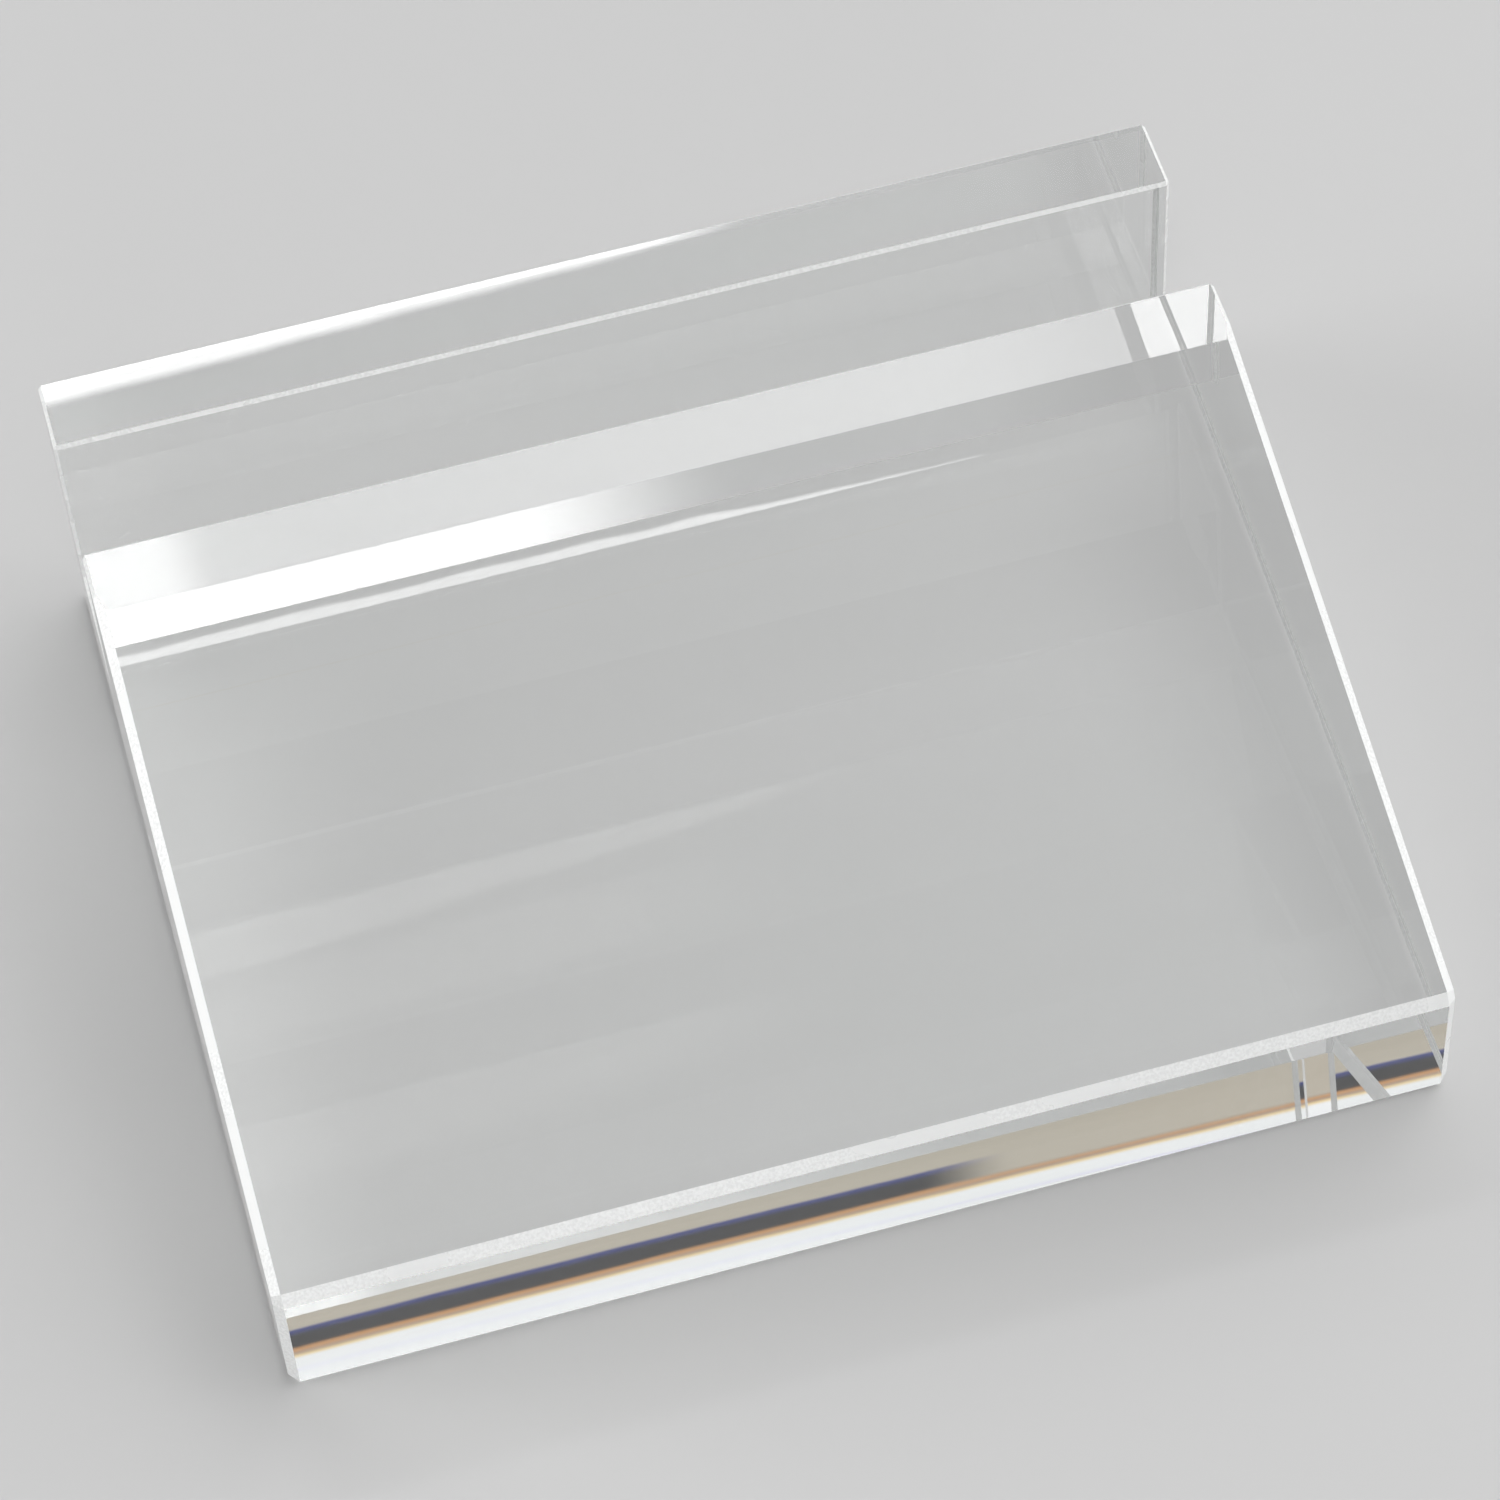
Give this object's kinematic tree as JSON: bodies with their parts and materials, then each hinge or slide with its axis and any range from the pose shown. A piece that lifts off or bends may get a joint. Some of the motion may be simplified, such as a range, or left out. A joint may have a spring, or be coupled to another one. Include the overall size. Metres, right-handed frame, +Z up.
{
  "type": "desk business card holder",
  "caption": "Clear crystal desk card holder: a sloped front tablet, a full-width card slot open at both ends and an upright rear wall, bonded from polished blocks.",
  "frame": {"origin": "middle of the underside, on the surface that the block stands on", "axes": "+Z up, +X to the right along the slot, -Y towards the front face and the foot of the slope"},
  "size_m": [0.1, 0.085, 0.03],
  "materials": {
    "crystal": "clear colourless optical glass, flat polished faces and fine satin chamfers",
    "bond_adhesive": "clear cured adhesive film between polished faces"
  },
  "bodies": {
    "root": {"front_tablet": "crystal", "slot_floor_bar": "crystal", "rear_wall": "crystal", "front_bond_film": "bond_adhesive", "rear_bond_film": "bond_adhesive"}
  },
  "joints": []
}
